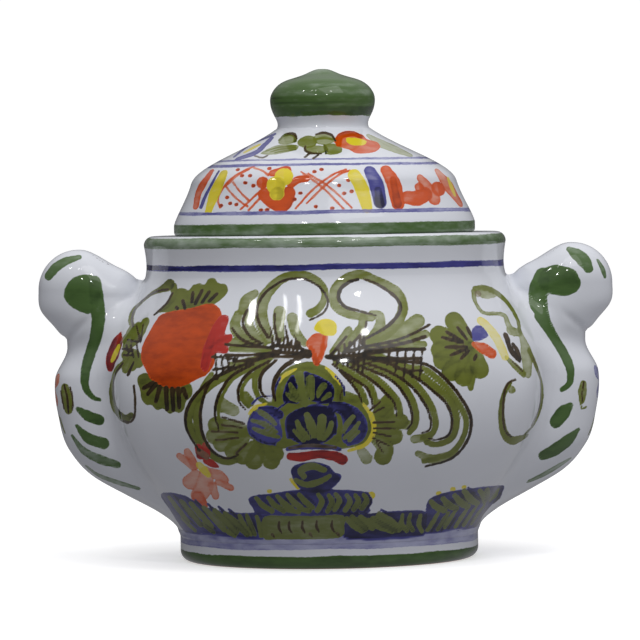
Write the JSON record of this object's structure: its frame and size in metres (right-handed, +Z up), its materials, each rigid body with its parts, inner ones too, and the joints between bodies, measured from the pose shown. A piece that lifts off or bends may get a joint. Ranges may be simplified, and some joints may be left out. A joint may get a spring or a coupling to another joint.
{
  "type": "lidded tureen",
  "caption": "Round-bellied glazed earthenware tureen with scroll handles, a raised rim ledge and a domed lift-off lid with a mushroom knob, for serving and keeping soup or stew.",
  "frame": {"origin": "centre of the foot on the table", "axes": "+Z up along the vessel's axis, X through the two handles, the front faces -Y"},
  "size_m": [0.2816, 0.224, 0.2396],
  "materials": {
    "painted_white_glaze": "gloss white glaze with brushed decoration",
    "white_glaze": "gloss white glaze",
    "green_glaze": "gloss green brushed over white glaze"
  },
  "bodies": {
    "pot": {"bowl": "painted_white_glaze", "rim_collar": "painted_white_glaze", "foot_ring": "painted_white_glaze", "left_handle": "painted_white_glaze", "right_handle": "painted_white_glaze"},
    "lid": {"lid": "painted_white_glaze", "lid_flange": "white_glaze", "lid_knob": "green_glaze"}
  },
  "joints": [
    {"name": "lid_lift", "type": "slide", "parent": "pot", "child": "lid", "axis": [0, 0, 1], "range_m": [0, 0.15]}
  ]
}
